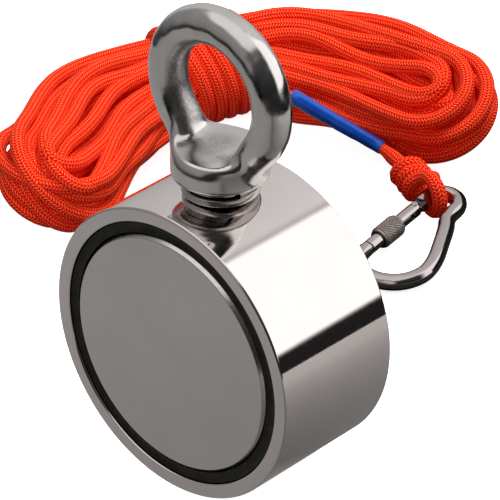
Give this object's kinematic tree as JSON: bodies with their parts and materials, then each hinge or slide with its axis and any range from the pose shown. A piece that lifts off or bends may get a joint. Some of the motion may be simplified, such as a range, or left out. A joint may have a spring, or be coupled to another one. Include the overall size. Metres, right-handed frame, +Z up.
{
  "type": "fishing magnet",
  "caption": "Round steel-cased fishing magnet with a lifting eye bolt, a hank of orange braided rope and a screw-gate carabiner.",
  "frame": {"origin": "on the floor below the middle of the magnet, where its curved side rests", "axes": "+Z up along the eye bolt, -Y out of the front magnet face, +X to the right when facing the front"},
  "size_m": [0.1868, 0.194, 0.1304],
  "materials": {
    "nickel_body": "mirror polished nickel plating",
    "magnet_face": "satin nickel plating",
    "black_epoxy": "black cast resin",
    "polished_steel": "polished forged steel",
    "washer_steel": "bright steel",
    "orange_rope": "braided polyester",
    "blue_sleeve": "glossy shrink tube",
    "carabiner_steel": "polished steel wire",
    "knurled_steel": "knurled steel",
    "spring_wire": "spring wire"
  },
  "bodies": {
    "magnet": {"steel_body": "nickel_body", "front_magnet": "magnet_face", "back_magnet": "magnet_face", "front_epoxy_ring": "black_epoxy", "back_epoxy_ring": "black_epoxy", "flat_washer": "washer_steel", "rope_hank_wraps": "orange_rope", "rope_hank_left": "orange_rope", "rope_hank_right": "orange_rope", "rope_lead": "orange_rope", "heat_shrink_sleeve": "blue_sleeve", "rope_knot": "orange_rope", "rope_loop": "orange_rope"},
    "bolt_carrier": {"spring_washer": "washer_steel"},
    "bolt": {"eye_bolt": "polished_steel"},
    "carabiner": {"carabiner_body": "carabiner_steel", "gate_pin": "carabiner_steel"},
    "gate": {"carabiner_gate": "carabiner_steel", "gate_spring": "spring_wire"},
    "sleeve": {"screw_sleeve": "knurled_steel"}
  },
  "joints": [
    {"name": "bolt_lift", "type": "slide", "parent": "magnet", "child": "bolt_carrier", "axis": [0, 0, 1], "range_m": [0, 0.0105]},
    {"name": "bolt_turn", "type": "hinge", "parent": "bolt_carrier", "child": "bolt", "pos_m": [0, 0, 0.08], "axis": [0, 0, 1], "range_deg": [0, 2520]},
    {"name": "carabiner_swing", "type": "hinge", "parent": "magnet", "child": "carabiner", "pos_m": [-0.0328, 0.1241, 0.0076], "axis": [0, 0, 1], "range_deg": [-15, 15]},
    {"name": "gate_hinge", "type": "hinge", "parent": "carabiner", "child": "gate", "pos_m": [-0.03711, 0.11773, 0.00698], "axis": [0.045, -0.1262, 0.991], "range_deg": [0, 25], "stiffness_Nm_per_rad": 0.02, "springref_deg": -28.65},
    {"name": "sleeve_slide", "type": "slide", "parent": "gate", "child": "sleeve", "axis": [0.0564, -0.9901, -0.1287], "range_m": [0, 0.0042]}
  ],
  "couplings": [
    {"joint": "bolt_turn", "follows": "bolt_lift", "rad_per_m": 4188.8}
  ]
}
